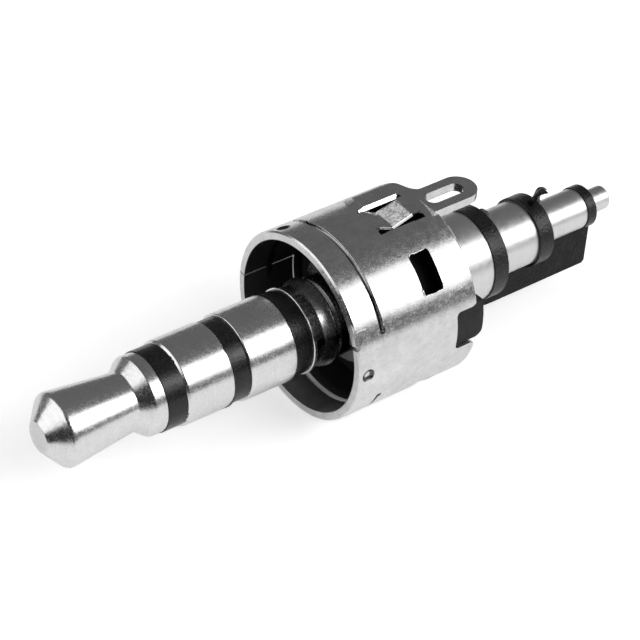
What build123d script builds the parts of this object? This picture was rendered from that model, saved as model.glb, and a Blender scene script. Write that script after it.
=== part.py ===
from build123d import *
from math import asin, cos, degrees, hypot, radians, sin, sqrt
import os

# Audio jack plug insert: a four pole 3.5 mm plug in a rolled metal shell.
# X runs along the plug with the tip toward -X, +Z is the solder lug side.
# X = 0 is the plane of the shell's open front rim. Millimetres throughout.

# Tip contact, turned
tip_end = -11.52
nose_flat_r = 0.62
nose_flat_edge = 0.05
nose_edge_x = -10.98
nose_edge_r = 1.27
nose_shoulder_x = -10.52
shank_front_r = 1.44
neck_x = -7.92
neck_r = 1.15
flare_x = -7.42
collar_r = 1.57
collar_rear_x = -6.96
collar_edge = 0.10
rod_r = 0.50
pin_end_x = 15.66
pin_edge = 0.08

# First ring contact, turned
ring_a_front_x = -6.14
ring_a_rear_x = -4.12
ring_a_r = 1.70
ring_a_edge = 0.13
tube_a_r = 0.85
barrel_3_rear_x = 14.12

# Second ring contact, turned
ring_b_front_x = -3.37
ring_b_rear_x = -1.29
plug_r = 1.75
ring_edge = 0.03
tube_b_r = 1.35
barrel_2_rear_x = 11.04

# Sleeve contact, turned
sleeve_front_x = -0.51
lip_r = 1.75
lip_rear_x = -0.36
lip_edge = 0.04
groove_r = 1.66
cove_front_x = -0.14
bead_front_x = 0.12
bead_rear_x = 0.22
bead_r = 1.87
neck_barrel_r = 1.66
flange_front_x = 1.98
flange_r = 2.21
flange_edge = 0.05
sleeve_r = 1.87
barrel_1_rear_x = 8.25
sleeve_edge = 0.03

# Moulded insulation: thin tubes between the metal tubes, black rings, a fin
film = 0.12
black_ring_1_r = 1.61
black_ring_2_r = 1.65
black_ring_3_r = 1.69
rear_ring_1_r = 1.93
rear_ring_1_x = 8.98
rear_ring_2_r = 1.47
rear_ring_2_x = 11.76
rear_ring_3_r = 0.90
rear_ring_3_x = 14.60
black_edge = 0.05
fin_thick = 1.00
fin_low_z = -2.62
fin_corner = 1.30
fin_foot = 0.12
flash_thick = 0.10

# Shell, rolled and pressed from sheet
shell_r = 3.85
sheet = 0.35
shell_rear_x = 5.70
rim_edge = 0.06
bore_r = shell_r - sheet

# Circumferential slots behind the front band
slot_front_x = 1.12
slot_width = 0.23
slot_high_start = 24.5
slot_high_end = 125.0
slot_low_start = -22.0
slot_low_end = -125.0

# Round dimples pressed into the front band
dimple_x = 0.42
dimple_r = 0.28
dimple_depth = 0.13
dimple_ball_r = (dimple_r**2 + dimple_depth**2) / (2 * dimple_depth)
dimple_turns = (1.0, 117.0, -118.0)

# Catch windows
window_front_x = 3.40
window_rear_x = 4.35
window_wide = 1.69
window_round = 0.13
window_turns = (45.5, -45.5)

# Key notch open at the rear edge
notch_front_x = 4.70
notch_wide = 1.70
notch_turn = 3.2
notch_round = 0.20
notch_lead = 0.22

# Bridge lance on top, a strip between two slots pressed inward
lance_y = -0.09
lance_wide = 1.12
lance_slot = 0.18
lance_near_slot = 0.27
lance_roll = 0.06
lance_front_x = 3.02
lance_rear_x = 5.08
lance_bend_front_x = 3.16
lance_low_x = 3.80
lance_bend_rear_x = 4.74
lance_depth = 0.27

# Solder lug
lug_y = -0.27
lug_wide = 1.50
lug_top_z = shell_r
lug_root_x = 5.50
lug_end_x = 8.02
lug_hole_wide = 0.67
lug_hole_front_x = 5.71
lug_hole_rear_x = 7.47

# Flat pad beside the lug, raised off the round wall on the far side
pad_front_x = 3.40
pad_corner_x = 5.15
pad_trim_x = 5.60
pad_root_x = 6.10
pad_edge_y = 1.60
pad_bend = 0.76
pad_flat_y = 1.20
pad_foot_y = 1.92
pad_foot_z = 3.36
pad_near_y = -0.02
pad_inner_y = 1.42
pad_inner_foot_y = 1.64
pad_inner_foot_z = 3.14
pad_ramp_x = 2.70
pad_ramp_y = 1.22

# Rolled seam with a stepped interlock
seam_gap = 0.07
seam_turn = 176.5
seam_step_turn = 197.0
seam_step_1_x = 2.38
seam_step_2_x = 4.55

# Cut-off corner of the rim, creased and pushed inward, with a small open nick
crease_turn = 29.8
crease_long = 0.58
dent_turn = 21.6
dent_deep = 0.12
dent_r = shell_r - dent_deep
nick_turn = 19.9
nick_wide = 0.20
nick_deep = 0.14

# Moulded carrier that holds the sleeve inside the shell
carrier_fit = 0.0
carrier_front_x = 2.70
carrier_chamfer = 0.18
carrier_rear_x = 5.58
carrier_groove_r = 2.60
carrier_groove_front_x = 3.08
carrier_groove_rear_x = 4.80
key_fit = 0.02
key_sunk = 0.17
key_top_r = shell_r - key_sunk
key_rear_x = 6.13
key_corner = 0.35


def outward(turn):
    return Vector(0, -cos(radians(turn)), sin(radians(turn)))


def facing(turn, x=0.0, r=0.0):
    out = outward(turn)
    return Plane(origin=Vector(x, 0, 0) + out * r, x_dir=(1, 0, 0), z_dir=out)


def at_turn(turn, r):
    out = outward(turn)
    return (out.Y * r, out.Z * r)


def meridian(turn):
    out = outward(turn)
    return Plane(origin=(0, 0, 0), x_dir=(1, 0, 0), z_dir=Vector(1, 0, 0).cross(out))


os.makedirs("parts", exist_ok=True)

# Tip contact: nose, tapering shank, flare and collar in front, one long rod behind
with BuildPart() as tip_contact:
    with BuildSketch(Plane.XY) as tip_profile:
        with BuildLine() as tip_outline:
            nose_flat = Line((tip_end, 0), (tip_end, nose_flat_r - nose_flat_edge))
            nose_chamfer = Line(
                nose_flat @ 1,
                (tip_end + 0.5 * nose_flat_edge, nose_flat_r + 0.2 * nose_flat_edge),
            )
            nose_cone = Line(nose_chamfer @ 1, (nose_edge_x, nose_edge_r))
            shoulder = Spline(
                (nose_edge_x, nose_edge_r),
                (nose_shoulder_x, shank_front_r),
                tangents=[(0.80, 0.60), (1, -0.11)],
            )
            shank = Line((nose_shoulder_x, shank_front_r), (neck_x, neck_r))
            flare = Line(shank @ 1, (flare_x, collar_r))
            collar = Line(flare @ 1, (collar_rear_x - 0.02, collar_r))
            collar_lip = Line(collar @ 1, (collar_rear_x, collar_r - 0.02))
            collar_back = Line(collar_lip @ 1, (collar_rear_x, rod_r))
            rod = Line(collar_back @ 1, (pin_end_x - pin_edge, rod_r))
            rod_chamfer = Line(rod @ 1, (pin_end_x, rod_r - pin_edge))
            rod_end = Line(rod_chamfer @ 1, (pin_end_x, 0))
            axis_line = Line(rod_end @ 1, (tip_end, 0))
        make_face()
        flare_corners = tip_profile.vertices().filter_by(
            lambda v: abs(v.X - flare_x) < 0.001 and abs(v.Y - collar_r) < 0.001
        )
        fillet(flare_corners, radius=collar_edge)
        neck_corners = tip_profile.vertices().filter_by(
            lambda v: abs(v.X - neck_x) < 0.001 and abs(v.Y - neck_r) < 0.001
        )
        fillet(neck_corners, radius=collar_edge)
    revolve(axis=Axis.X)

# First ring contact: front ring, thin tube, rear barrel 3
with BuildPart() as first_ring_contact:
    with BuildSketch(Plane.XY):
        with BuildLine():
            Polyline(
                (ring_a_front_x, rod_r + film),
                (ring_a_front_x, ring_a_r - ring_a_edge),
                (ring_a_front_x + ring_a_edge, ring_a_r),
                (ring_a_rear_x - ring_edge, ring_a_r),
                (ring_a_rear_x, ring_a_r - ring_edge),
                (ring_a_rear_x, tube_a_r),
                (barrel_3_rear_x, tube_a_r),
                (barrel_3_rear_x, rod_r + film),
                close=True,
            )
        make_face()
    revolve(axis=Axis.X)

# Second ring contact: front ring, thin tube, rear barrel 2
with BuildPart() as second_ring_contact:
    with BuildSketch(Plane.XY):
        with BuildLine():
            Polyline(
                (ring_b_front_x, tube_a_r + film),
                (ring_b_front_x, plug_r - ring_edge),
                (ring_b_front_x + ring_edge, plug_r),
                (ring_b_rear_x - ring_edge, plug_r),
                (ring_b_rear_x, plug_r - ring_edge),
                (ring_b_rear_x, tube_b_r),
                (barrel_2_rear_x, tube_b_r),
                (barrel_2_rear_x, tube_a_r + film),
                close=True,
            )
        make_face()
    revolve(axis=Axis.X)

# Sleeve contact: front lip, groove, cove and the rear barrel 1
with BuildPart() as sleeve_contact:
    with BuildSketch(Plane.XY):
        with BuildLine():
            sleeve_start = Line((sleeve_front_x, tube_b_r + film), (sleeve_front_x, lip_r - lip_edge))
            lip_chamfer = Line(sleeve_start @ 1, (sleeve_front_x + lip_edge, lip_r))
            lip = Line(lip_chamfer @ 1, (lip_rear_x, lip_r))
            lip_back = Line(lip @ 1, (lip_rear_x + 0.06, groove_r))
            groove = Line(lip_back @ 1, (cove_front_x, groove_r))
            cove = Spline(
                groove @ 1,
                (bead_front_x, bead_r),
                (bead_rear_x, bead_r - 0.02),
                (bead_rear_x + 0.26, neck_barrel_r),
                tangents=[(1, 0), (1, -0.3)],
            )
            neck_barrel = Line(cove @ 1, (flange_front_x, neck_barrel_r))
            flange_face = Line(neck_barrel @ 1, (flange_front_x, flange_r - flange_edge))
            flange_chamfer = Line(flange_face @ 1, (flange_front_x + flange_edge, flange_r))
            flange_rim = Line(flange_chamfer @ 1, (carrier_front_x, flange_r))
            flange_back = Line(flange_rim @ 1, (carrier_front_x, sleeve_r))
            barrel_1 = Line(flange_back @ 1, (barrel_1_rear_x - sleeve_edge, sleeve_r))
            barrel_1_edge = Line(barrel_1 @ 1, (barrel_1_rear_x, sleeve_r - sleeve_edge))
            barrel_1_back = Line(barrel_1_edge @ 1, (barrel_1_rear_x, tube_b_r + film))
            sleeve_bore = Line(barrel_1_back @ 1, sleeve_start @ 0)
        make_face()
    revolve(axis=Axis.X)

# Insulator: all black rings and tube walls are one moulding, joined by the fin
with BuildPart() as insulator:
    with BuildSketch(Plane.XY):
        with BuildLine():
            Polyline(
                (collar_rear_x, rod_r),
                (collar_rear_x, black_ring_1_r),
                (ring_a_front_x, black_ring_1_r),
                (ring_a_front_x, rod_r + film),
                (barrel_3_rear_x, rod_r + film),
                (barrel_3_rear_x, rear_ring_3_r),
                (rear_ring_3_x - black_edge, rear_ring_3_r),
                (rear_ring_3_x, rear_ring_3_r - black_edge),
                (rear_ring_3_x, rod_r),
                close=True,
            )
        make_face()
    revolve(axis=Axis.X)
    with BuildSketch(Plane.XY):
        with BuildLine():
            Polyline(
                (ring_a_rear_x, tube_a_r),
                (ring_a_rear_x, black_ring_2_r),
                (ring_b_front_x, black_ring_2_r),
                (ring_b_front_x, tube_a_r + film),
                (barrel_2_rear_x, tube_a_r + film),
                (barrel_2_rear_x, rear_ring_2_r),
                (rear_ring_2_x - black_edge, rear_ring_2_r),
                (rear_ring_2_x, rear_ring_2_r - black_edge),
                (rear_ring_2_x, tube_a_r),
                close=True,
            )
        make_face()
    revolve(axis=Axis.X)
    with BuildSketch(Plane.XY):
        with BuildLine():
            Polyline(
                (ring_b_rear_x, tube_b_r),
                (ring_b_rear_x, black_ring_3_r),
                (sleeve_front_x, black_ring_3_r),
                (sleeve_front_x, tube_b_r + film),
                (barrel_1_rear_x, tube_b_r + film),
                (barrel_1_rear_x, rear_ring_1_r),
                (rear_ring_1_x - black_edge, rear_ring_1_r),
                (rear_ring_1_x, rear_ring_1_r - black_edge),
                (rear_ring_1_x, tube_b_r),
                close=True,
            )
        make_face()
    revolve(axis=Axis.X)
    # The fin under the three rear rings, cut back around the metal barrels
    with BuildSketch(Plane.XZ.offset(-fin_thick / 2)):
        with BuildLine():
            fin_top = Line((barrel_1_rear_x, 0), (rear_ring_3_x, 0))
            fin_back = Line(fin_top @ 1, (rear_ring_3_x, fin_low_z + fin_foot))
            fin_back_foot = Line(fin_back @ 1, (rear_ring_3_x - fin_foot, fin_low_z))
            fin_low = Line(fin_back_foot @ 1, (barrel_1_rear_x + fin_corner, fin_low_z))
            fin_front_foot = TangentArc(
                fin_low @ 1,
                (barrel_1_rear_x, fin_low_z + 0.42),
                tangent=(-1, 0),
            )
            fin_front = Line(fin_front_foot @ 1, fin_top @ 0)
        make_face()
    extrude(amount=fin_thick)
    with BuildSketch(Plane.YZ.offset(rear_ring_1_x)):
        Circle(tube_b_r)
    extrude(amount=barrel_2_rear_x - rear_ring_1_x, mode=Mode.SUBTRACT)
    with BuildSketch(Plane.YZ.offset(barrel_1_rear_x)):
        Circle(tube_b_r)
    extrude(amount=rear_ring_1_x - barrel_1_rear_x, mode=Mode.SUBTRACT)
    with BuildSketch(Plane.YZ.offset(barrel_2_rear_x)):
        Circle(tube_a_r)
    extrude(amount=barrel_3_rear_x - barrel_2_rear_x, mode=Mode.SUBTRACT)
    with BuildSketch(Plane.YZ.offset(barrel_3_rear_x)):
        Circle(rod_r)
    extrude(amount=rear_ring_3_x - barrel_3_rear_x, mode=Mode.SUBTRACT)
    with BuildSketch(Plane.XY):
        with BuildLine():
            Polyline(
                (barrel_1_rear_x, tube_a_r + film),
                (barrel_2_rear_x, tube_a_r + film),
                (barrel_2_rear_x, tube_a_r),
                (barrel_1_rear_x, tube_a_r),
                close=True,
            )
        make_face()
    revolve(axis=Axis.X)
    with BuildSketch(Plane.XY):
        with BuildLine():
            Polyline(
                (barrel_1_rear_x, rod_r + film),
                (barrel_3_rear_x, rod_r + film),
                (barrel_3_rear_x, rod_r),
                (barrel_1_rear_x, rod_r),
                close=True,
            )
        make_face()
    revolve(axis=Axis.X)
    # Flash left on the mould parting line: a curled burr and a low one
    with BuildSketch(Plane.XZ.offset(-flash_thick / 2)):
        with BuildLine():
            Spline(
                (rear_ring_2_x - 0.22, rear_ring_2_r - 0.06),
                (rear_ring_2_x - 0.02, 1.60),
                (rear_ring_2_x + 0.12, 1.84),
                (rear_ring_2_x + 0.36, 1.83),
                (rear_ring_2_x + 0.62, 1.61),
            )
            Spline(
                (rear_ring_2_x + 0.62, 1.61),
                (rear_ring_2_x + 0.36, 1.66),
                (rear_ring_2_x + 0.26, 1.48),
                (rear_ring_2_x + 0.36, 1.16),
            )
            Line((rear_ring_2_x + 0.36, 1.16), (rear_ring_2_x - 0.22, 1.16))
            Line((rear_ring_2_x - 0.22, 1.16), (rear_ring_2_x - 0.22, rear_ring_2_r - 0.06))
        make_face()
    extrude(amount=flash_thick)
    with BuildSketch(Plane.XZ.offset(-flash_thick / 2)):
        with BuildLine():
            Spline(
                (rear_ring_1_x - 0.40, rear_ring_1_r - 0.04),
                (rear_ring_1_x - 0.12, 2.02),
                (rear_ring_1_x + 0.14, 1.90),
                (rear_ring_1_x + 0.30, 1.66),
                (rear_ring_1_x + 0.24, tube_b_r),
            )
            Line((rear_ring_1_x + 0.24, tube_b_r), (rear_ring_1_x - 0.40, tube_b_r))
            Line((rear_ring_1_x - 0.40, tube_b_r), (rear_ring_1_x - 0.40, rear_ring_1_r - 0.04))
        make_face()
    extrude(amount=flash_thick)

# What is sheared off the pad's far rear corner
with BuildPart() as pad_trim:
    with BuildSketch(Plane.XY.offset(pad_foot_z - sheet)):
        with BuildLine():
            trim_curve = Spline(
                (pad_corner_x - 0.06, pad_foot_y),
                (pad_corner_x + 0.06, 1.50),
                (pad_corner_x + 0.21, 1.36),
                (pad_corner_x + 0.37, 1.08),
                (pad_corner_x + 0.51, 0.74),
                (pad_corner_x + 0.69, 0.54),
                (pad_root_x, lug_y + lug_wide / 2),
            )
            trim_low = Line(trim_curve @ 1, (pad_root_x + 0.2, lug_y + lug_wide / 2))
            trim_rear = Line(trim_low @ 1, (pad_root_x + 0.2, pad_foot_y + 0.5))
            trim_far = Line(trim_rear @ 1, (pad_corner_x - 0.06, pad_foot_y + 0.5))
            trim_front = Line(trim_far @ 1, trim_curve @ 0)
        make_face()
    extrude(amount=3 * sheet)
    with BuildSketch(Plane.YZ.offset(pad_corner_x - 0.5)):
        Circle(shell_r)
    extrude(amount=shell_rear_x - pad_corner_x + 0.5, mode=Mode.SUBTRACT)

# Shell: rolled sheet with slots, dimples, windows, key notch, lance, seam and lug
with BuildPart() as shell:
    with BuildSketch(Plane.XY):
        with BuildLine():
            Polyline(
                (0, bore_r),
                (0, shell_r - rim_edge),
                (rim_edge, shell_r),
                (shell_rear_x - rim_edge / 2, shell_r),
                (shell_rear_x, shell_r - rim_edge / 2),
                (shell_rear_x, bore_r),
                close=True,
            )
        make_face()
    revolve(axis=Axis.X)
    # Raised pad: hollow the wall under it, then add the flat and its bent edge
    with BuildSketch(Plane.YZ.offset(pad_front_x)):
        with BuildLine():
            Polyline(
                (0, bore_r),
                (pad_inner_y, bore_r),
                (pad_inner_foot_y, pad_inner_foot_z),
                (pad_inner_foot_y - 0.12, pad_inner_foot_z - 0.16),
                (0, bore_r - 0.2),
                close=True,
            )
        make_face()
    extrude(amount=pad_corner_x - pad_front_x, mode=Mode.SUBTRACT)
    with BuildSketch(Plane.YZ.offset(pad_front_x)) as pad_section:
        with BuildLine():
            Polyline(
                (pad_near_y, lug_top_z),
                (pad_edge_y, lug_top_z),
                (pad_foot_y, pad_foot_z),
                (pad_inner_foot_y, pad_inner_foot_z),
                (pad_inner_y, bore_r),
                (pad_near_y, bore_r),
                close=True,
            )
        make_face()
        pad_corners = pad_section.vertices().filter_by(
            lambda v: abs(v.X - pad_edge_y) < 0.001 and abs(v.Y - lug_top_z) < 0.001
        )
        fillet(pad_corners, radius=pad_bend)
    extrude(amount=pad_trim_x - pad_front_x)
    # The drawn front of the pad slopes into the round wall
    with BuildSketch(Plane.YZ.offset(pad_front_x)):
        with BuildLine():
            Polyline(
                (0, lug_top_z - 0.01),
                (pad_ramp_y, lug_top_z),
                (pad_ramp_y, lug_top_z - 0.30),
                (0, lug_top_z - 0.10),
                close=True,
            )
        make_face()
    with BuildSketch(Plane.YZ.offset(pad_ramp_x)):
        with BuildLine():
            Polyline(
                (0, lug_top_z - 0.02),
                (pad_ramp_y - 0.1, lug_top_z - 0.19),
                (pad_ramp_y - 0.1, lug_top_z - 0.30),
                (0, lug_top_z - 0.12),
                close=True,
            )
        make_face()
    loft()
    # The flat carries on to the lug's root, and its far corner is cut away in a curve
    with BuildSketch(Plane.XY.offset(lug_top_z - sheet)):
        with BuildLine():
            Polyline(
                (pad_corner_x - 0.1, pad_near_y),
                (pad_corner_x - 0.1, pad_flat_y),
                (pad_root_x, pad_flat_y),
                (pad_root_x, pad_near_y),
                close=True,
            )
        make_face()
    extrude(amount=sheet)
    add(pad_trim.part, mode=Mode.SUBTRACT)
    # Solder lug, flat and tangent to the round wall, with its long eye
    with BuildSketch(Plane.XY.offset(lug_top_z - sheet)):
        with Locations(((lug_root_x + lug_end_x - lug_wide / 2) / 2, lug_y)):
            Rectangle(lug_end_x - lug_wide / 2 - lug_root_x, lug_wide)
        with Locations((lug_end_x - lug_wide / 2, lug_y)):
            Circle(lug_wide / 2)
    extrude(amount=sheet)
    with BuildSketch(Plane.XY.offset(lug_top_z - sheet - 0.1)):
        with Locations(((lug_hole_front_x + lug_hole_rear_x) / 2, lug_y)):
            SlotOverall(lug_hole_rear_x - lug_hole_front_x, lug_hole_wide)
    extrude(amount=sheet + 0.4, mode=Mode.SUBTRACT)
    # Circumferential slots with round ends
    for high_turn, low_turn in ((slot_high_end, slot_high_start), (slot_low_start, slot_low_end)):
        with BuildSketch(meridian(high_turn)):
            with Locations((slot_front_x + slot_width / 2, shell_r)):
                Rectangle(slot_width, 3 * sheet)
        revolve(axis=Axis.X, revolution_arc=high_turn - low_turn, mode=Mode.SUBTRACT)
        for end_turn in (high_turn, low_turn):
            with BuildSketch(facing(end_turn, slot_front_x + slot_width / 2, bore_r - sheet)):
                Circle(slot_width / 2)
            extrude(amount=3 * sheet, mode=Mode.SUBTRACT)
    # Dimples
    for turn in dimple_turns:
        with Locations(facing(turn, dimple_x, shell_r - dimple_depth + dimple_ball_r)):
            Sphere(dimple_ball_r, mode=Mode.SUBTRACT)
    # Windows
    for turn in window_turns:
        with BuildSketch(facing(turn, (window_front_x + window_rear_x) / 2, bore_r - 2 * sheet)):
            RectangleRounded(window_rear_x - window_front_x, window_wide, window_round)
        extrude(amount=4 * sheet, mode=Mode.SUBTRACT)
    # Key notch with rounded inner corners and a led-in mouth
    with BuildSketch(facing(notch_turn, 0, bore_r - 2 * sheet)):
        with Locations(((notch_front_x + shell_rear_x) / 2 + 0.5, 0)):
            RectangleRounded(shell_rear_x - notch_front_x + 1.0, notch_wide, notch_round)
        for side in (1, -1):
            with BuildLine():
                Polyline(
                    (shell_rear_x - notch_lead, side * notch_wide / 2),
                    (shell_rear_x - 0.06, side * (notch_wide / 2 + 0.06)),
                    (shell_rear_x + 0.02, side * (notch_wide / 2 + notch_lead)),
                    (shell_rear_x + 0.02, side * (notch_wide / 2 - 0.1)),
                    (shell_rear_x - notch_lead, side * (notch_wide / 2 - 0.1)),
                    close=True,
                )
            make_face()
    extrude(amount=4 * sheet, mode=Mode.SUBTRACT)
    # Seam of the rolled sheet: three straight runs and two steps around
    for run_turn, run_start, run_end in (
        (seam_turn, -0.1, seam_step_1_x + seam_gap / 2),
        (seam_step_turn, seam_step_1_x - seam_gap / 2, seam_step_2_x + seam_gap / 2),
        (seam_turn, seam_step_2_x - seam_gap / 2, shell_rear_x + 0.1),
    ):
        with BuildSketch(facing(run_turn, (run_start + run_end) / 2, bore_r - 2 * sheet)):
            Rectangle(run_end - run_start, seam_gap)
        extrude(amount=4 * sheet, mode=Mode.SUBTRACT)
    for step_x in (seam_step_1_x, seam_step_2_x):
        with BuildSketch(meridian(seam_step_turn)):
            with Locations((step_x, shell_r)):
                Rectangle(seam_gap, 3 * sheet)
        revolve(axis=Axis.X, revolution_arc=seam_step_turn - seam_turn, mode=Mode.SUBTRACT)
    # Bridge lance: open the wall, put the strip back bent inward, cut its two slots
    lance_turn = 90 + degrees(asin(lance_y / shell_r))
    lance_half_turn = degrees(asin((lance_wide + lance_slot) / 2 / shell_r))
    lance_far_y = lance_y + lance_wide / 2 + lance_slot
    lance_near_y = lance_y - lance_wide / 2
    lance_edge_z = sqrt(shell_r**2 - lance_near_y**2)
    with BuildSketch(Plane.XY.offset(bore_r - 2 * sheet)):
        with Locations(((lance_bend_front_x + lance_bend_rear_x) / 2, lance_y)):
            Rectangle(lance_bend_rear_x - lance_bend_front_x, lance_wide + lance_slot)
    extrude(amount=4 * sheet, mode=Mode.SUBTRACT)
    with BuildSketch(meridian(lance_turn + lance_half_turn)):
        with BuildLine():
            Polyline(
                (lance_bend_front_x - 0.02, shell_r),
                (lance_bend_front_x, shell_r),
                (lance_low_x, shell_r - lance_depth),
                (lance_bend_rear_x, shell_r),
                (lance_bend_rear_x + 0.02, shell_r),
                (lance_bend_rear_x + 0.02, bore_r),
                (lance_bend_rear_x, bore_r),
                (lance_low_x, bore_r - lance_depth),
                (lance_bend_front_x, bore_r),
                (lance_bend_front_x - 0.02, bore_r),
                close=True,
            )
        make_face()
    revolve(axis=Axis.X, revolution_arc=2 * lance_half_turn)
    with BuildSketch(Plane.XY.offset(bore_r - 2 * sheet)):
        with Locations(((lance_front_x + lance_rear_x) / 2, lance_y + (lance_wide + lance_slot) / 2)):
            SlotOverall(lance_rear_x - lance_front_x, lance_slot)
        with Locations(((lance_front_x + lance_rear_x) / 2, lance_near_y - lance_near_slot / 2)):
            SlotOverall(lance_rear_x - lance_front_x, lance_near_slot)
    extrude(amount=4 * sheet, mode=Mode.SUBTRACT)
    # Rolled edges that the punch left on the far slot and along the strip
    with BuildSketch(Plane.YZ.offset(lance_front_x + lance_slot / 2)):
        with BuildLine():
            Polyline(
                (lance_far_y - 0.02, shell_r - lance_roll - 0.02),
                (lance_far_y + lance_roll + 0.02, shell_r + 0.02),
                (lance_far_y - 0.02, shell_r + 0.02),
                close=True,
            )
        make_face()
    extrude(amount=lance_rear_x - lance_front_x - lance_slot, mode=Mode.SUBTRACT)
    for bend_x, way in ((lance_bend_front_x, -1), (lance_bend_rear_x, 1)):
        ramp = Plane(
            origin=(lance_low_x, lance_near_y, lance_edge_z - lance_depth),
            x_dir=(0, 1, 0),
            z_dir=(bend_x - lance_low_x, 0, lance_depth),
        )
        with BuildSketch(ramp):
            with BuildLine():
                Polyline(
                    (-0.02, -way * (lance_roll + 0.02)),
                    (lance_roll + 0.02, way * 0.02),
                    (-0.02, way * 0.02),
                    close=True,
                )
            make_face()
        extrude(amount=hypot(bend_x - lance_low_x, lance_depth), mode=Mode.SUBTRACT)
    # Creased corner at the rim: a dent that runs out to a point along the crease
    with BuildSketch(Plane.YZ.offset(-0.01)):
        with BuildLine():
            Polyline(
                at_turn(crease_turn, shell_r + 0.01),
                at_turn(dent_turn, dent_r),
                at_turn(nick_turn - 1.2, shell_r + 0.01),
                at_turn(nick_turn - 1.2, shell_r + 0.3),
                at_turn(crease_turn, shell_r + 0.3),
                close=True,
            )
        make_face()
    with BuildSketch(Plane.YZ.offset(crease_long)):
        with BuildLine():
            Polyline(
                at_turn(crease_turn, shell_r),
                at_turn(crease_turn - 0.2, shell_r),
                at_turn(crease_turn - 0.4, shell_r + 0.01),
                at_turn(crease_turn - 0.4, shell_r + 0.3),
                at_turn(crease_turn, shell_r + 0.3),
                close=True,
            )
        make_face()
    loft(mode=Mode.SUBTRACT)
    with BuildSketch(Plane.YZ):
        with BuildLine():
            Polyline(
                at_turn(crease_turn, bore_r + 0.05),
                at_turn(crease_turn, bore_r),
                at_turn(dent_turn, bore_r + dent_r - shell_r),
                at_turn(dent_turn, bore_r + 0.05),
                close=True,
            )
        make_face()
    with BuildSketch(Plane.YZ.offset(crease_long)):
        with BuildLine():
            Polyline(
                at_turn(crease_turn, bore_r + 0.05),
                at_turn(crease_turn, bore_r + 0.01),
                at_turn(crease_turn - 0.4, bore_r + 0.01),
                at_turn(crease_turn - 0.4, bore_r + 0.05),
                close=True,
            )
        make_face()
    loft()
    with BuildSketch(facing(nick_turn, 0, bore_r - sheet)):
        with BuildLine():
            Polyline(
                (-0.02, -nick_wide / 2),
                (nick_deep, 0),
                (-0.02, nick_wide / 2),
                close=True,
            )
        make_face()
    extrude(amount=3 * sheet, mode=Mode.SUBTRACT)

# Carrier: moulded collar between sleeve and shell, with the key in the shell's notch
with BuildPart() as carrier:
    with BuildSketch(Plane.XY):
        with BuildLine():
            Polyline(
                (carrier_front_x, sleeve_r),
                (carrier_front_x, bore_r - carrier_chamfer),
                (carrier_front_x + carrier_chamfer, bore_r - carrier_fit),
                (carrier_groove_front_x, bore_r - carrier_fit),
                (carrier_groove_front_x, carrier_groove_r),
                (carrier_groove_rear_x, carrier_groove_r),
                (carrier_groove_rear_x, bore_r - carrier_fit),
                (carrier_rear_x, bore_r - carrier_fit),
                (carrier_rear_x, sleeve_r),
                close=True,
            )
        make_face()
    revolve(axis=Axis.X)
    with BuildSketch(facing(notch_turn, 0, sleeve_r + 0.5)) as key_plan:
        with BuildLine():
            Polyline(
                (notch_front_x + key_fit, -notch_wide / 2 + key_fit),
                (notch_front_x + key_fit, notch_wide / 2 - key_fit),
                (key_rear_x, notch_wide / 2 - key_fit),
                (key_rear_x, -notch_wide / 2 + key_fit),
                close=True,
            )
        make_face()
        low_corner = key_plan.vertices().sort_by(Axis.X)[-2:].sort_by(Axis.Y)
        fillet(low_corner[0], radius=key_corner)
        front_corners = key_plan.vertices().sort_by(Axis.X)[:2]
        fillet(front_corners, radius=notch_round)
    extrude(amount=shell_r)
    with BuildSketch(Plane.XY) as key_turning:
        with BuildLine():
            Polyline(
                (notch_front_x - 0.1, key_top_r),
                (key_rear_x + 0.1, key_top_r),
                (key_rear_x + 0.1, 2 * shell_r),
                (notch_front_x - 0.1, 2 * shell_r),
                close=True,
            )
        make_face()
    revolve(axis=Axis.X, mode=Mode.SUBTRACT)

tip_contact.part.label = "tip_contact"
export_step(tip_contact.part, "parts/tip_contact.step")
first_ring_contact.part.label = "first_ring_contact"
export_step(first_ring_contact.part, "parts/first_ring_contact.step")
second_ring_contact.part.label = "second_ring_contact"
export_step(second_ring_contact.part, "parts/second_ring_contact.step")
sleeve_contact.part.label = "sleeve_contact"
export_step(sleeve_contact.part, "parts/sleeve_contact.step")
insulator.part.label = "insulator"
export_step(insulator.part, "parts/insulator.step")
carrier.part.label = "carrier"
export_step(carrier.part, "parts/carrier.step")
shell.part.label = "shell"
export_step(shell.part, "parts/shell.step")
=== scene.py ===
import bpy
import math
import random
from mathutils import Matrix, Vector


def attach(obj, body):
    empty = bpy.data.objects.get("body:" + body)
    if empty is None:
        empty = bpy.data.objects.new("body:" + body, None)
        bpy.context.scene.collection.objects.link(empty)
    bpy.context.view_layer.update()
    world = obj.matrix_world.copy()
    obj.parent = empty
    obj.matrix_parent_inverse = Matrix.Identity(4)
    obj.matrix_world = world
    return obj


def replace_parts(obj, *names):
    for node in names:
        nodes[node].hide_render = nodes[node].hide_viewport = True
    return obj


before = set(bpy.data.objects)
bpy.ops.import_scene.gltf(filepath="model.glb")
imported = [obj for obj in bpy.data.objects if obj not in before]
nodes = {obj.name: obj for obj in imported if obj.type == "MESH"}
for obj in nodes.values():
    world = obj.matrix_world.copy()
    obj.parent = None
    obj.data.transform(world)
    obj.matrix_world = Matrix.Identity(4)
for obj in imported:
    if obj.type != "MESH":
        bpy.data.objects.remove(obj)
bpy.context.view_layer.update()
MM = 0.001
chance = random.Random(11)

# picture and camera, solved from the photograph's circles and straight edges
PICTURE = 640.0
FOCAL_PX = 2379.48
LIFT_PX = 1.2
EYE = Vector((-44.213, -55.138, 56.502)) * MM
RIGHT = Vector((0.79735, -0.60125, 0.0522))
AHEAD = Vector((0.49727, 0.60552, -0.62135))
SENSOR = 36.0

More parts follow.
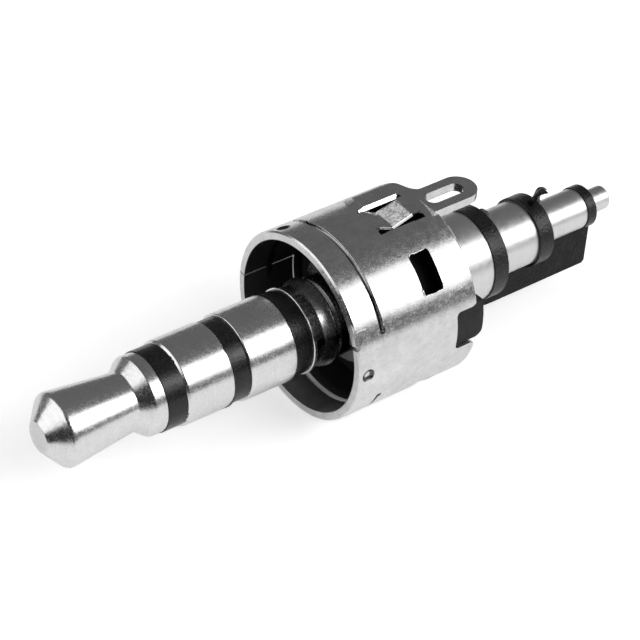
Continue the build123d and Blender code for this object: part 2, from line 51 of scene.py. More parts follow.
# sizes of the shell that the scene needs, in millimetres and degrees
SHELL_R = 3.85
SHEET = 0.35
BORE_R = SHELL_R - SHEET
SHELL_REAR_X = 5.70
SLOT_FRONT_X = 1.12
SLOT_REAR_X = 1.35
SLOT_LIP_TURNS = ((27, 112), (-24, -112))
DIMPLE_X = 0.42
DIMPLE_TURNS = (1.0, 117.0, -118.0)
CREASE_REAR_X = 0.66
CREASE_TURNS = (16, 33)
LANCE_FRONT_X = 3.16
LANCE_LOW_X = 3.80
LANCE_REAR_X = 4.74
LANCE_DEPTH = 0.27
LANCE_NEAR_Y = -0.65
LANCE_FAR_Y = 0.65
WINDOW_FRONT_X = 3.40
WINDOW_REAR_X = 4.35
WINDOW_HALF = 0.845
WINDOW_ROUND = 0.13
WINDOW_TURN = 45.5

# sizes of the carrier, the insulator and the turned contacts, in millimetres
KEY_TOP_R = SHELL_R - 0.17
FRONT_RING_RADII = (1.61, 1.65, 1.69)
REAR_RING_RADII = (1.93, 1.47, 0.90)
FIN_HALF = 0.52
PLUG_R = 1.75
PIN_R = 0.50
PIN_END_X = 15.66
TIP_X = -11.52
COLLAR_R = 1.57
COLLAR_REAR_X = -6.96
FIRST_RING_X = -6.14
FIRST_RING_REAR_X = -4.12
FIRST_RING_R = 1.70
FIRST_BORE_R = 0.62
FIRST_TUBE_R = 0.85
FIRST_TUBE_END_X = 14.12
SECOND_RING_X = -3.37
SECOND_RING_REAR_X = -1.29
SECOND_BORE_R = 0.97
SECOND_TUBE_R = 1.35
SECOND_TUBE_END_X = 11.04
SLEEVE_X = -0.51
SLEEVE_BORE_R = 1.47
SLEEVE_TUBE_R = 1.87
SLEEVE_END_X = 8.25
NECK_R = 1.62
FLANGE_X = 1.98
FLANGE_REAR_X = 2.70
FLANGE_R = 2.21

# each contact's half section: x, radius and rounding of its corners
TIP = [
    (TIP_X, 0.0, 0.0), (TIP_X, 0.62, 0.04), (-10.812, 1.4725, 0.24), (-7.92, 1.15, 0.10),
    (-7.42, COLLAR_R, 0.10), (COLLAR_REAR_X, COLLAR_R, 0.03), (COLLAR_REAR_X, PIN_R, 0.02),
    (PIN_END_X, PIN_R, 0.08), (PIN_END_X, 0.0, 0.0)]
RING_A = [
    (FIRST_RING_X, FIRST_BORE_R, 0.02), (FIRST_RING_X, 1.61, 0.04), (-6.06, FIRST_RING_R, 0.06),
    (FIRST_RING_REAR_X, FIRST_RING_R, 0.04), (FIRST_RING_REAR_X, FIRST_TUBE_R, 0.02),
    (FIRST_TUBE_END_X, FIRST_TUBE_R, 0.03), (FIRST_TUBE_END_X, FIRST_BORE_R, 0.02)]
RING_B = [
    (SECOND_RING_X, SECOND_BORE_R, 0.02), (SECOND_RING_X, PLUG_R, 0.05), (SECOND_RING_REAR_X, PLUG_R, 0.05),
    (SECOND_RING_REAR_X, SECOND_TUBE_R, 0.02), (SECOND_TUBE_END_X, SECOND_TUBE_R, 0.03),
    (SECOND_TUBE_END_X, SECOND_BORE_R, 0.02)]
SLEEVE = [
    (SLEEVE_X, SLEEVE_BORE_R, 0.02), (SLEEVE_X, PLUG_R, 0.04), (-0.36, PLUG_R, 0.03), (-0.32, NECK_R, 0.03),
    (0.05, 1.64, 0.20), (0.60, 1.81, 0.20), (0.85, NECK_R, 0.30), (FLANGE_X, 1.66, 0.06),
    (FLANGE_X, FLANGE_R, 0.05), (FLANGE_REAR_X, FLANGE_R, 0.03), (FLANGE_REAR_X, SLEEVE_TUBE_R, 0.03),
    (SLEEVE_END_X, SLEEVE_TUBE_R, 0.03), (SLEEVE_END_X, SLEEVE_BORE_R, 0.02)]

# how the added pieces are made, in counts, degrees and millimetres
LATHE_STEPS = 160
TUBE_SIDES = 8
ROUNDING_STEP = 12
RUNS_ON = 14
BURR_STEP = 0.05
BURR_WOBBLE = 0.006
ON_AXIS = 1e-6


def grey(v):
    return (v, v, v, 1.0)


def new_material(name):
    mat = bpy.data.materials.new(name)
    mat.use_nodes = True
    tree = mat.node_tree
    tree.nodes.clear()
    out = tree.nodes.new("ShaderNodeOutputMaterial")
    return mat, tree, out


def node(tree, kind, **values):
    made = tree.nodes.new(kind)
    for key, value in values.items():
        setattr(made, key, value)
    return made


def feed(tree, value, socket):
    if isinstance(value, bpy.types.NodeSocket):
        tree.links.new(value, socket)
    else:
        socket.default_value = value


def calc(tree, op, *args):
    made = node(tree, "ShaderNodeMath", operation=op)
    for i, value in enumerate(args):
        feed(tree, value, made.inputs[i])
    return made.outputs[0]


def remap(tree, value, from_low, from_high, to_low, to_high):
    made = node(tree, "ShaderNodeMapRange")
    feed(tree, value, made.inputs["Value"])
    made.inputs["From Min"].default_value = from_low
    made.inputs["From Max"].default_value = from_high
    made.inputs["To Min"].default_value = to_low
    made.inputs["To Max"].default_value = to_high
    return made.outputs["Result"]


def step(tree, value, start, end):
    """0 up to start, 1 past end, and a straight slope between them; end may be the smaller of the two."""
    return remap(tree, value, start, end, 0.0, 1.0)


def all_of(tree, *masks):
    made = masks[0]
    for other in masks[1:]:
        made = calc(tree, "MULTIPLY", made, other)
    return made


def within(tree, value, low, high, soft):
    """1 between low and high, 0 outside, with a soft step of the given width inside each end."""
    return all_of(tree, step(tree, value, low, low + soft), step(tree, value, high, high - soft))


def mixed(tree, share, first, second):
    """The first colour where the share is 0, and the second where it is 1."""
    made = node(tree, "ShaderNodeMix", data_type="RGBA")
    feed(tree, share, made.inputs["Factor"])
    feed(tree, first, made.inputs["A"])
    feed(tree, second, made.inputs["B"])
    return made.outputs["Result"]


def own_frame(tree):
    return node(tree, "ShaderNodeTexCoord").outputs["Object"]


def spot(tree):
    """The shaded point in the part's own frame, in millimetres: x, y, z and its distance from the axis."""
    split = node(tree, "ShaderNodeSeparateXYZ")
    tree.links.new(own_frame(tree), split.inputs[0])
    x, y, z = (calc(tree, "MULTIPLY", split.outputs[i], 1 / MM) for i in range(3))
    r = calc(tree, "SQRT", calc(tree, "ADD", calc(tree, "MULTIPLY", y, y), calc(tree, "MULTIPLY", z, z)))
    return x, y, z, r


def noise(tree, per_mm, detail, stretch=(1.0, 1.0, 1.0)):
    mapping = node(tree, "ShaderNodeMapping")
    mapping.inputs["Scale"].default_value = stretch
    tree.links.new(own_frame(tree), mapping.inputs["Vector"])
    made = node(tree, "ShaderNodeTexNoise")
    tree.links.new(mapping.outputs["Vector"], made.inputs["Vector"])
    made.inputs["Scale"].default_value = per_mm / MM
    made.inputs["Detail"].default_value = detail
    made.inputs["Roughness"].default_value = 0.6
    return made.outputs["Fac"]


def bump(tree, height, depth_mm, normal=None):
    made = node(tree, "ShaderNodeBump")
    made.inputs["Strength"].default_value = 1.0
    made.inputs["Distance"].default_value = depth_mm * MM
    tree.links.new(height, made.inputs["Height"])
    if normal is not None:
        tree.links.new(normal, made.inputs["Normal"])
    return made.outputs["Normal"]


def metal(name, dark, light, smooth, rough, grain, wave, line_depth, line_way, lined):
    """Plated metal with clouded tone and roughness, fine grain, shallow waves and lines along line_way."""
    mat, tree, out = new_material(name)
    cloud = noise(tree, 2.2, 5.0)
    fine = noise(tree, 14.0, 3.0)
    patch = noise(tree, 6.5, 4.0, (0.7, 1.0, 1.0))
    line = noise(tree, 3.0, 4.0, line_way)
    p = node(tree, "ShaderNodeBsdfPrincipled")
    p.inputs["Metallic"].default_value = 1.0
    tone = calc(tree, "ADD", calc(tree, "MULTIPLY", cloud, 1.0 - lined), calc(tree, "MULTIPLY", line, lined))
    colour = mixed(tree, step(tree, tone, 0.36, 0.64), grey(dark), grey(light))
    blend = calc(tree, "ADD", calc(tree, "MULTIPLY", patch, 0.5), calc(tree, "MULTIPLY", fine, 0.5))
    roughness = remap(tree, blend, 0.38, 0.62, smooth, rough)
    normal = bump(tree, fine, grain)
    normal = bump(tree, patch, wave, normal)
    tree.links.new(bump(tree, line, line_depth, normal), p.inputs["Normal"])
    tree.links.new(p.outputs[0], out.inputs["Surface"])
    return mat, tree, p, colour, roughness


def turned_metal():
    """Plated brass off the lathe, with painted shade on the neck and deep in the shell's mouth, and rougher
    behind the shell.
    """
    mat, tree, p, colour, roughness = metal(
        "turned_metal", dark=0.83, light=0.92, smooth=0.17, rough=0.30, grain=0.0006, wave=0.0028,
        line_depth=0.0006, line_way=(6.0, 0.15, 0.15), lined=0.6)
    x, _, z, r = spot(tree)
    # painted shade: the neck is darkened almost to black, except high up and low down where its highlights
    # stay
    neck = all_of(tree, within(tree, x, -0.35, FLANGE_REAR_X + 0.02, 0.04), step(tree, r, 1.2, 1.3),
                  within(tree, z, -0.9, 0.75, 0.3))
    colour = mixed(tree, neck, colour, grey(0.08))
    # painted shade where the sleeve stands deep in the shell's mouth, in the shade of the shell
    shaded = calc(tree, "MULTIPLY", within(tree, x, 0.9, FLANGE_REAR_X + 0.02, 0.15), 0.7)
    tree.links.new(mixed(tree, shaded, colour, grey(0.05)), p.inputs["Base Color"])
    behind = remap(tree, x, SHELL_REAR_X - 0.3, SHELL_REAR_X + 0.1, 0.0, 0.13)
    tree.links.new(calc(tree, "ADD", roughness, behind), p.inputs["Roughness"])
    return mat


def plastic(name, dark, light, smooth, rough, grain, specular, line_depth):
    """Black moulded plastic, with a rougher, less glossy fin and coarser grain behind the shell."""
    mat, tree, out = new_material(name)
    cloud = noise(tree, 1.6, 5.0)
    fine = noise(tree, 9.0, 4.0)
    line = noise(tree, 3.0, 3.0, (5.0, 0.2, 0.2))
    x, y, z, _ = spot(tree)
    p = node(tree, "ShaderNodeBsdfPrincipled")
    colour = mixed(tree, step(tree, fine, 0.35, 0.65), grey(dark), grey(light))
    tree.links.new(colour, p.inputs["Base Color"])
    fin = all_of(tree, within(tree, y, -FIN_HALF, FIN_HALF, 0.01), step(tree, z, -0.3, -0.4))
    roughness = remap(tree, cloud, 0.35, 0.65, smooth, rough)
    tree.links.new(calc(tree, "ADD", roughness, calc(tree, "MULTIPLY", fin, 0.2)), p.inputs["Roughness"])
    tree.links.new(remap(tree, fin, 0.0, 1.0, specular, specular * 0.35), p.inputs["Specular IOR Level"])
    coarser = remap(tree, x, 5.0, 6.0, 1.0, 3.2)
    normal = bump(tree, calc(tree, "MULTIPLY", fine, coarser), grain)
    tree.links.new(bump(tree, line, line_depth, normal), p.inputs["Normal"])
    tree.links.new(p.outputs[0], out.inputs["Surface"])
    return mat


def on_wall(x, s, turn, lift=0.0):
    """A point on the shell's outside, s millimetres to the side of the line at the given turn."""
    t = math.radians(turn)
    out = math.sqrt(SHELL_R ** 2 - s ** 2) + lift
    return Vector((x, s * math.sin(t) - out * math.cos(t), s * math.cos(t) + out * math.sin(t)))


# mask of the upper slots' walls, where painted shade goes
def upper_slot_walls(tree, x, z, r):
    return all_of(tree, within(tree, x, SLOT_FRONT_X - 0.03, SLOT_REAR_X + 0.03, 0.01),
                  step(tree, r, SHELL_R - 0.16, SHELL_R - 0.24), step(tree, z, -0.5, 0.0))


# mask of the window's walls, where painted shade goes
def window_walls(tree, x, y, r):
    return all_of(tree, within(tree, x, WINDOW_FRONT_X - 0.05, WINDOW_REAR_X + 0.05, 0.01),
                  step(tree, r, SHELL_R - 0.04, SHELL_R - 0.07),
                  step(tree, calc(tree, "ABSOLUTE", y), 1.2, 1.3))


def dimple_ring(tree, turn):
    """A ring round the middle of the dimple at the given turn, where painted shade goes."""
    away = node(tree, "ShaderNodeVectorMath", operation="DISTANCE")
    tree.links.new(own_frame(tree), away.inputs[0])
    away.inputs[1].default_value = on_wall(DIMPLE_X, 0.0, turn) * MM
    far = calc(tree, "MULTIPLY", away.outputs["Value"], 1 / MM)
    return within(tree, far, 0.15, 0.29, 0.03)


def under_strip(tree, x, z):
    """How far the point lies under the pressed strip's outer face at its sides, in millimetres."""
    front = step(tree, x, LANCE_FRONT_X, LANCE_LOW_X)
    rear = step(tree, x, LANCE_REAR_X, LANCE_LOW_X)
    sunk = calc(tree, "MULTIPLY", calc(tree, "MINIMUM", front, rear), LANCE_DEPTH)
    return calc(tree, "SUBTRACT", calc(tree, "SUBTRACT", SHELL_R - 0.04, sunk), z)


def strip_sides(tree, x, y, z, below):
    """Three masks for painted shade beside the pressed strip: its near side wall, the far slot's wall and
    its near edge.
    """
    span = all_of(tree, within(tree, x, LANCE_FRONT_X - 0.2, LANCE_REAR_X + 0.4, 0.02),
                  step(tree, z, 2.9, 3.0))
    near_side = all_of(tree, span, within(tree, y, LANCE_NEAR_Y - 0.30, LANCE_NEAR_Y + 0.07, 0.01),
                       step(tree, below, 0.025, 0.04))
    far_side = all_of(tree, span, within(tree, y, LANCE_FAR_Y - 0.02, LANCE_FAR_Y + 0.20, 0.01),
                      step(tree, z, SHELL_R - 0.10, SHELL_R - 0.12))
    near_edge = all_of(tree, span, within(tree, y, LANCE_NEAR_Y - 0.02, LANCE_NEAR_Y + 0.07, 0.02),
                       step(tree, below, 0.0, 0.02))
    return near_side, far_side, near_edge


def strip_ramp(tree, x, y, below):
    """The pressed strip's rising rear half, where a highlight is painted, with specks left out."""
    face = all_of(tree, within(tree, x, LANCE_LOW_X + 0.02, LANCE_REAR_X - 0.02, 0.05),
                  within(tree, y, LANCE_NEAR_Y - 0.01, LANCE_FAR_Y - 0.22, 0.04),
                  within(tree, below, -0.06, 0.03, 0.02))
    speck = remap(tree, noise(tree, 9.0, 4.0), 0.40, 0.60, 0.30, 1.0)
    return calc(tree, "MULTIPLY", face, speck)


def sheet_metal():
    """Plated sheet: painted shade on a rougher inside, on the cut walls, beside the pressed strip and in
    rings round the dimples, and a painted highlight on the pressed strip's rising rear half.
    """
    mat, tree, p, colour, roughness = metal(
        "sheet_metal", dark=0.75, light=0.90, smooth=0.15, rough=0.30, grain=0.0008, wave=0.0018,
        line_depth=0.0004, line_way=(0.3, 2.0, 2.0), lined=0.2)
    x, y, z, r = spot(tree)
    # painted shade on the shell's inside, with less of it low down toward the front
    inside = step(tree, r, BORE_R + 0.03, BORE_R + 0.005)
    up_or_back = calc(tree, "MAXIMUM", z, calc(tree, "SUBTRACT", x, 3.0))
    painted_inside_shade = calc(tree, "MULTIPLY", inside, remap(tree, up_or_back, -2.4, -1.2, 0.4, 1.0))
    below = under_strip(tree, x, z)
    near_side, far_side, near_edge = strip_sides(tree, x, y, z, below)
    # painted shade, a dark grey on each mask: the inside, the cut walls of the upper slots and the window,
    # the pressed strip's sides and near edge, and rings round the dimples
    painted_shade_and_light = [(painted_inside_shade, 0.13), (upper_slot_walls(tree, x, z, r), 0.05), (near_side, 0.03), (far_side, 0.14),
             (near_edge, 0.20), (window_walls(tree, x, y, r), 0.04)]
    painted_shade_and_light += [(dimple_ring(tree, turn), 0.12) for turn in DIMPLE_TURNS]
    # painted highlight: the pressed strip's rising rear half is painted pale grey, less metallic and
    # rougher, so that it shows bright
    painted_ramp_highlight = strip_ramp(tree, x, y, below)
    painted_shade_and_light.append((painted_ramp_highlight, 0.95))
    for mask, shade in painted_shade_and_light:
        colour = mixed(tree, mask, colour, grey(shade))
    tree.links.new(colour, p.inputs["Base Color"])
    tree.links.new(calc(tree, "SUBTRACT", 1.0, calc(tree, "MULTIPLY", painted_ramp_highlight, 0.8)), p.inputs["Metallic"])
    dull = calc(tree, "MULTIPLY", calc(tree, "MAXIMUM", painted_ramp_highlight, inside), 0.25)
    tree.links.new(calc(tree, "ADD", roughness, dull), p.inputs["Roughness"])
    return mat


def add_mesh(name, verts, faces, mat):
    mesh = bpy.data.meshes.new(name)
    mesh.from_pydata(verts, [], faces)
    mesh.materials.append(mat)
    ob = bpy.data.objects.new(name, mesh)
    bpy.context.scene.collection.objects.link(ob)
    return ob


def shade_smooth(ob):
    ob.data.polygons.foreach_set("use_smooth", [True] * len(ob.data.polygons))


def outline(corners):
    """Rounds the corners (x, r, rounding) of a closed half section and gives (x, r, normal x, normal r)."""
    made = []
    for i, (x, r, rounding) in enumerate(corners):
        p = Vector((x, r))
        a = Vector(corners[i - 1][:2])
        b = Vector(corners[(i + 1) % len(corners)][:2])
        u = (p - a).normalized()
        w = (b - p).normalized()
        n_in = Vector((-u.y, u.x))
        n_out = Vector((-w.y, w.x))
        if r < ON_AXIS:
            flat_side = n_out if w.y > 0.5 else n_in
            made.append((x, 0.0, flat_side.x, 0.0))
            continue
        turn = math.atan2(u.x * w.y - u.y * w.x, u.dot(w))
        half = abs(turn) / 2
        reach = min(rounding * math.tan(half), 0.45 * (p - a).length, 0.45 * (b - p).length)
        radius = reach / math.tan(half)
        side = 1.0 if turn < 0 else -1.0
        centre = p - u * reach - n_in * radius * side
        steps = max(3, int(abs(math.degrees(turn)) / ROUNDING_STEP) + 1)
        for k in range(steps + 1):
            angle = turn * k / steps
            n = Vector((n_in.x * math.cos(angle) - n_in.y * math.sin(angle),
                        n_in.x * math.sin(angle) + n_in.y * math.cos(angle)))
            q = centre + n * radius * side
            made.append((q.x, q.y, n.x, n.y))
    return made


def lathe(name, corners, mat):
    """A turned piece with exact normals, from the corners of its half section."""
    verts, normals, faces, rows = [], [], [], []
    for x, r, nx, nr in outline(corners):
        if r < ON_AXIS:
            rows.append([len(verts)] * LATHE_STEPS)
            verts.append((x * MM, 0.0, 0.0))
            normals.append((nx, 0.0, 0.0))
            continue
        rows.append(list(range(len(verts), len(verts) + LATHE_STEPS)))
        for j in range(LATHE_STEPS):
            t = 2 * math.pi * j / LATHE_STEPS
            verts.append((x * MM, -r * math.cos(t) * MM, r * math.sin(t) * MM))
            normals.append((nx, -nr * math.cos(t), nr * math.sin(t)))
    for i, low in enumerate(rows):
        high = rows[(i + 1) % len(rows)]
        for j in range(LATHE_STEPS):
            k = (j + 1) % LATHE_STEPS
            ring = []
            for v in (low[j], high[j], high[k], low[k]):
                if v not in ring:
                    ring.append(v)
            if len(ring) > 2:
                faces.append(ring)
    ob = add_mesh(name, verts, faces, mat)
    shade_smooth(ob)
    ob.data.normals_split_custom_set_from_vertices(normals)
    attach(ob, "root")
    return ob


def joined_rows(rows, count, forward):
    """Faces between neighbouring rows of count points, wound one way or the other, with both ends capped."""
    faces = []
    for i in range(rows - 1):
        for k in range(count):
            m = (k + 1) % count
            a, b, c, d = i * count + k, i * count + m, (i + 1) * count + m, (i + 1) * count + k
            faces.append((a, b, c, d) if forward else (a, d, c, b))
    first = tuple(range(count))
    last = tuple(range((rows - 1) * count, rows * count))
    faces.append(first[::-1] if forward else first)
    faces.append(last if forward else last[::-1])
    return faces


def tube(name, points, radii, mat):
    """A fine wire along the points, closed at both ends."""
    verts = []
    for i, p in enumerate(points):
        ahead = (points[min(i + 1, len(points) - 1)] - points[max(i - 1, 0)]).normalized()
        a = ahead.cross(Vector((0.0, 0.31, 0.95))).normalized()
        b = ahead.cross(a)
        for k in range(TUBE_SIDES):
            t = 2 * math.pi * k / TUBE_SIDES
            verts.append((p + (a * math.cos(t) + b * math.sin(t)) * radii[i]) * MM)
    ob = add_mesh(name, verts, joined_rows(len(points), TUBE_SIDES, True), mat)
    shade_smooth(ob)
    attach(ob, "root")


def bar(name, rows, mat):
    """A closed piece from rows of points, each row a closed outline, with its ends capped."""
    verts = [q * MM for row in rows for q in row]
    ob = add_mesh(name, verts, joined_rows(len(rows), len(rows[0]), False), mat)
    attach(ob, "root")
    return ob


def burr(name, path, thick, turn):
    """An uneven wire on the shell's outside, along a path of (x, s) beside the line at the given turn."""
    points, radii = [], []
    for (x0, s0), (x1, s1) in zip(path, path[1:]):
        steps = max(2, int(math.hypot(x1 - x0, s1 - s0) / BURR_STEP))
        for k in range(steps):
            share = k / steps
            s = s0 + (s1 - s0) * share + chance.uniform(-BURR_WOBBLE, BURR_WOBBLE)
            points.append(on_wall(x0 + (x1 - x0) * share, s, turn, 0.004))
            radii.append(thick * chance.uniform(0.6, 1.15))
    points.append(on_wall(path[-1][0], path[-1][1], turn))
    radii.append(thick * 0.4)
    radii[0] = thick * 0.4
    tube(name, points, radii, turned)


def window_burrs():
    """Burrs along the low, rear and high edges of the upper window."""
    front, rear = WINDOW_FRONT_X, WINDOW_REAR_X
    low, high = -WINDOW_HALF, WINDOW_HALF
    corner = WINDOW_ROUND * 0.4
    low_edge = [(front, low + 0.3), (front + 0.01, low + 0.1), (front + corner, low + 0.01), (3.82, low)]
    rear_edge = [(3.94, low), (rear - corner, low + 0.01), (rear - 0.01, low + 0.1), (rear, low + 0.22)]
    high_edge = [(front + 0.02, high - 0.1), (front + 0.1, high), (3.62, high + 0.01), (3.72, high - 0.03),
                 (rear - 0.12, high)]
    burr("window_burr_low_0", low_edge, thick=0.034, turn=WINDOW_TURN)
    burr("window_burr_rear_0", rear_edge, thick=0.032, turn=WINDOW_TURN)
    burr("window_burr_high_0", high_edge, thick=0.028, turn=WINDOW_TURN)


def shell_edge_burrs():
    """The thin line of the rim's crease, and a burr along the shell's rear edge."""
    crease = [(0.03, 0.0), (0.20, 0.01), (0.56, 0.0)]
    rear_edge = [(5.69, 0.5), (SHELL_REAR_X, 0.1), (5.68, -0.2), (SHELL_REAR_X, -0.55)]
    burr("rim_crease", crease, thick=0.020, turn=29.8)
    burr("rear_edge_burr", rear_edge, thick=0.022, turn=58.0)


def far_slot_lip():
    """The rolled lip on the far slot's outer edge, which sinks into the sheet at both ends."""
    edge_y = LANCE_FAR_Y + 0.04
    hang = 0.08
    rows = []
    for x, share in ((3.09, 0.0), (3.13, 0.6), (3.17, 1.0), (4.92, 1.0), (4.96, 0.6), (5.00, 0.0)):
        top = 3.797 - 0.014 * (1.0 - share)
        section = ((edge_y, 3.60), (edge_y - 0.01 - hang * share, top - hang * share), (edge_y, top),
                   (edge_y + 0.035, top - 0.007))
        rows.append([Vector((x, y, z)) for y, z in section])
    bar("far_slot_lip", rows, sheet)


def pressed_slope():
    """A thin smooth skin over the pressed strip's front slope, from the shell's wall to its lowest line."""
    start_x, end_x = 3.12, LANCE_LOW_X - 0.01
    near_y, far_y = -0.585, 0.55
    steps, across, thick = 24, 17, Vector((0.0, 0.0, 0.04))
    rows = []
    for i in range(steps + 1):
        x = start_x + (end_x - start_x) * i / steps
        drop = LANCE_DEPTH * max(0.0, x - LANCE_FRONT_X) / (LANCE_LOW_X - LANCE_FRONT_X)
        lift = -0.004 + 0.014 * min(1.0, (x - start_x) / 0.08)
        sides = [near_y + (far_y - near_y) * k / (across - 1) for k in range(across)]
        top = [Vector((x, y, math.sqrt(SHELL_R ** 2 - y ** 2) - drop + lift)) for y in sides]
        rows.append(top + [q - thick for q in reversed(top)])
    slope = bar("pressed_slope", rows, sheet)
    shade_smooth(slope)
    normals = []
    for i, vertex in enumerate(slope.data.vertices):
        upper = i % (2 * across) < across
        normals.append((0.12, vertex.co.y / MM / SHELL_R, 1.0) if upper else (0.0, 0.0, -1.0))
    slope.data.normals_split_custom_set_from_vertices(normals)


def ring_flash():
    """Ragged flash of the black moulding on both edges of the first metal ring."""
    number = 0
    steps = 10
    for edge_x, edge_r, way in ((FIRST_RING_X, 1.61, 1), (FIRST_RING_REAR_X, FIRST_RING_R, -1)):
        for _ in range(3):
            start = math.radians(chance.uniform(-60, 70))
            span = chance.uniform(0.10, 0.22)
            r = edge_r + 0.004
            smear = []
            for k in range(steps + 1):
                t = start + span * k / steps
                x = edge_x + way * 0.03 * math.sin(math.pi * k / steps)
                smear.append(Vector((x, -r * math.cos(t), r * math.sin(t))))
            tube("ring_flash_%d" % number, smear, [0.008] + [0.022] * (steps - 1) + [0.008], satin)
            number += 1


def ring_flake():
    """A thin flake of the black moulding, drawn out over the rear edge of the first metal ring."""
    foot_x = FIRST_RING_REAR_X + 0.03
    foot_r = FIRST_RING_R - 0.03
    steps = 14
    rows = []
    for k in range(steps + 1):
        t = -math.radians(14 + 38 * k / steps)
        edge_x = -4.15 - 0.33 * (k / steps) ** 1.6 + chance.uniform(-0.015, 0.015)
        section = ((foot_x, foot_r), (foot_x, FIRST_RING_R + 0.022), (edge_x, FIRST_RING_R + 0.006),
                   (edge_x, foot_r))
        rows.append([Vector((x, -r * math.cos(t), r * math.sin(t))) for x, r in section])
    bar("ring_flake", rows, satin)


def flash_curl():
    """The curl of flash that stands up from the second rear ring."""
    curl = [(11.42, -0.20, 1.42), (11.45, -0.34, 1.76), (11.45, -0.46, 2.04), (11.45, -0.60, 2.22),
            (11.45, -0.78, 2.34), (11.45, -0.98, 2.40)]
    radii = [0.17, 0.13, 0.12, 0.13, 0.10, 0.03]
    tube("flash_curl", [Vector(q) for q in curl], radii, satin)


def slot_lips():
    """A fine bright lip along the rear edge of each slot round the front band."""
    steps = 60
    for number, (start, end) in enumerate(SLOT_LIP_TURNS):
        turns = [start + (end - start) * k / steps for k in range(steps + 1)]
        edge = [on_wall(SLOT_REAR_X - 0.015, 0.0, turn, -0.03) for turn in turns]
        tube("slot_lip_%d" % number, edge, [0.01] + [0.035] * (steps - 1) + [0.01], sheet)


def on_crease(p, r, facing):
    """Whether the point lies on the outside of the rim's creased corner."""
    turn = math.degrees(math.atan2(p.z, -p.y))
    beside = -0.01 < p.x < CREASE_REAR_X and CREASE_TURNS[0] < turn < CREASE_TURNS[1]
    return beside and 3.6 < r < SHELL_R + 0.02 and facing > 0.6


def round_walls(radii):
    """A rule for true_normals: on a wall of these radii, straight out, or straight in for a negative one."""
    def rule(p, n):
        r = math.hypot(p.y, p.z)
        if r < 1e-3:
            return None
        out = Vector((0.0, p.y / r, p.z / r))
        if on_crease(p, r, n.dot(out)):
            return out
        for wall in radii:
            way = 1.0 if wall > 0 else -1.0
            if abs(r - abs(wall)) < 0.01 and n.dot(out) * way > 0.985:
                return out * way
        return None
    return rule


def true_normals(ob, rule):
    """Gives each face corner its surface's direction: the rule's, or the mean of the faces it runs on to."""
    mesh = ob.data
    around = [[] for _ in mesh.vertices]
    for poly in mesh.polygons:
        for v in poly.vertices:
            around[v].append(poly.index)
    near = math.cos(math.radians(RUNS_ON))
    made = []
    for poly in mesh.polygons:
        n = poly.normal
        for v in poly.vertices:
            exact = rule(mesh.vertices[v].co / MM, n)
            if exact is None:
                exact = Vector((0.0, 0.0, 0.0))
                for other in around[v]:
                    side = mesh.polygons[other]
                    if side.normal.dot(n) > near:
                        exact += side.normal * side.area
                exact = exact.normalized() if exact.length > 0 else n
            made.append(exact)
    shade_smooth(ob)
    mesh.normals_split_custom_set(made)


def floor_paper():
    """White paper: a plain diffuse grey, lifted for the camera and a little for reflections."""
    mat, tree, out = new_material("floor_paper")
    path = node(tree, "ShaderNodeLightPath")
    diffuse = node(tree, "ShaderNodeBsdfDiffuse")
    diffuse.inputs["Color"].default_value = grey(0.84)
    glow = node(tree, "ShaderNodeEmission")
    glow.inputs["Color"].default_value = grey(1.0)
    lift = calc(tree, "ADD", calc(tree, "MULTIPLY", path.outputs["Is Camera Ray"], 0.5),
                calc(tree, "MULTIPLY", path.outputs["Is Glossy Ray"], 0.12))
    tree.links.new(lift, glow.inputs["Strength"])
    both = node(tree, "ShaderNodeAddShader")
    tree.links.new(diffuse.outputs[0], both.inputs[0])
    tree.links.new(glow.outputs[0], both.inputs[1])
    tree.links.new(both.outputs[0], out.inputs["Surface"])
    return mat


def add_floor():
    """The floor that the shell stands on, which ends close in front of the tip and on the camera's side."""
    front, near, far = -21.5 * MM, -60.0 * MM, 900.0 * MM
    z = -SHELL_R * MM
    corners = [(front, near, z), (far, near, z), (far, far, z), (front, far, z)]
    floor = add_mesh("floor", corners, [(0, 1, 2, 3)], floor_paper())


def add_room():
    """The world: white for the camera, and a dim grey room for everything else, darker past the tip."""
    world = bpy.data.worlds.new("studio")
    bpy.context.scene.world = world
    world.use_nodes = True
    tree = world.node_tree
    tree.nodes.clear()
    out = node(tree, "ShaderNodeOutputWorld")
    toward = node(tree, "ShaderNodeSeparateXYZ")
    tree.links.new(node(tree, "ShaderNodeTexCoord").outputs["Generated"], toward.inputs[0])
    room = node(tree, "ShaderNodeBackground")
    tree.links.new(remap(tree, toward.outputs["X"], -0.62, -0.50, 0.02, 0.12), room.inputs["Color"])
    seen = node(tree, "ShaderNodeBackground")
    seen.inputs["Color"].default_value = grey(1.0)
    choice = node(tree, "ShaderNodeMixShader")
    tree.links.new(node(tree, "ShaderNodeLightPath").outputs["Is Camera Ray"], choice.inputs[0])
    tree.links.new(room.outputs[0], choice.inputs[1])
    tree.links.new(seen.outputs[0], choice.inputs[2])
    tree.links.new(choice.outputs[0], out.inputs["Surface"])


def turned_to(side, up, back, at):
    return Matrix((
        (side.x, up.x, back.x, at.x),
        (side.y, up.y, back.y, at.y),
        (side.z, up.z, back.z, at.z),
        (0, 0, 0, 1)))


def area(name, toward, across, distance, wide, tall, radiance, glossy=True):
    """A soft light of wide by tall millimetres, in the direction toward, with its width along across."""
    light = bpy.data.lights.new(name, "AREA")
    light.shape = "RECTANGLE"
    light.size = wide * MM
    light.size_y = tall * MM
    light.energy = radiance * math.pi * wide * MM * tall * MM
    ob = bpy.data.objects.new(name, light)
    bpy.context.scene.collection.objects.link(ob)
    back = Vector(toward).normalized()
    side = Vector(across)
    side = (side - back * side.dot(back)).normalized()
    ob.matrix_world = turned_to(side, back.cross(side), back, back * distance * MM)
    ob.visible_glossy = glossy
    ob.visible_camera = False


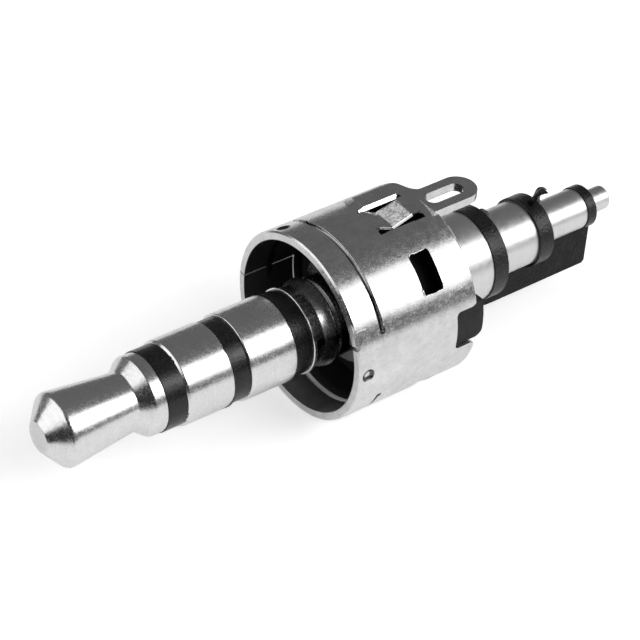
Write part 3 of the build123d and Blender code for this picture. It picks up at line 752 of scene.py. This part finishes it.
def add_lights():
    """A long soft box with a brighter core on the camera's side, a light past the tip, and a fill above."""
    height = math.radians(42)
    toward_box = (0.40, -0.868 * math.cos(height), 0.868 * math.sin(height))
    along_plug = (1, 0, 0)
    area("soft_box", toward_box, along_plug, distance=400, wide=620, tall=320, radiance=1.1)
    area("soft_box_core", toward_box, along_plug, distance=390, wide=560, tall=130, radiance=2.8)
    area("tip_side_light", (-0.861, 0.359, 0.423), (-0.273, 0.937, -0.21),
         distance=400, wide=443, tall=350, radiance=1.1)
    area("fill_above", (0.1, -0.1, 1.0), along_plug,
         distance=500, wide=700, tall=700, radiance=0.55, glossy=False)


def add_camera():
    data = bpy.data.cameras.new("camera")
    cam = bpy.data.objects.new("camera", data)
    bpy.context.scene.collection.objects.link(cam)
    data.sensor_width = SENSOR
    data.lens = FOCAL_PX * SENSOR / PICTURE
    data.shift_y = -LIFT_PX / PICTURE
    data.clip_start = 0.005
    data.clip_end = 10.0
    back = (-AHEAD).normalized()
    up = back.cross(RIGHT).normalized()
    cam.matrix_world = turned_to(up.cross(back).normalized(), up, back, EYE)
    bpy.context.scene.camera = cam


turned = turned_metal()
satin = plastic("black_insulation", dark=0.005, light=0.016, smooth=0.15, rough=0.30, grain=0.009,
                specular=0.42, line_depth=0.011)
flat = plastic("black_carrier", dark=0.016, light=0.026, smooth=0.5, rough=0.65, grain=0.001,
               specular=0.25, line_depth=0.0)
sheet = sheet_metal()

for cad, corners in (("tip_contact", TIP), ("first_ring_contact", RING_A),
                     ("second_ring_contact", RING_B), ("sleeve_contact", SLEEVE)):
    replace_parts(lathe(cad + "_turned", corners, turned), cad)

window_burrs()
far_slot_lip()
pressed_slope()
ring_flash()
ring_flake()
flash_curl()
shell_edge_burrs()
slot_lips()

true_normals(nodes["shell"], round_walls((SHELL_R, -BORE_R)))
true_normals(nodes["carrier"], round_walls((BORE_R, KEY_TOP_R)))
true_normals(nodes["insulator"], round_walls(FRONT_RING_RADII + REAR_RING_RADII))
for name, mat in (("insulator", satin), ("carrier", flat), ("shell", sheet)):
    nodes[name].data.materials.clear()
    nodes[name].data.materials.append(mat)

add_floor()
add_room()
add_lights()
add_camera()
bpy.context.scene.view_settings.view_transform = "Standard"
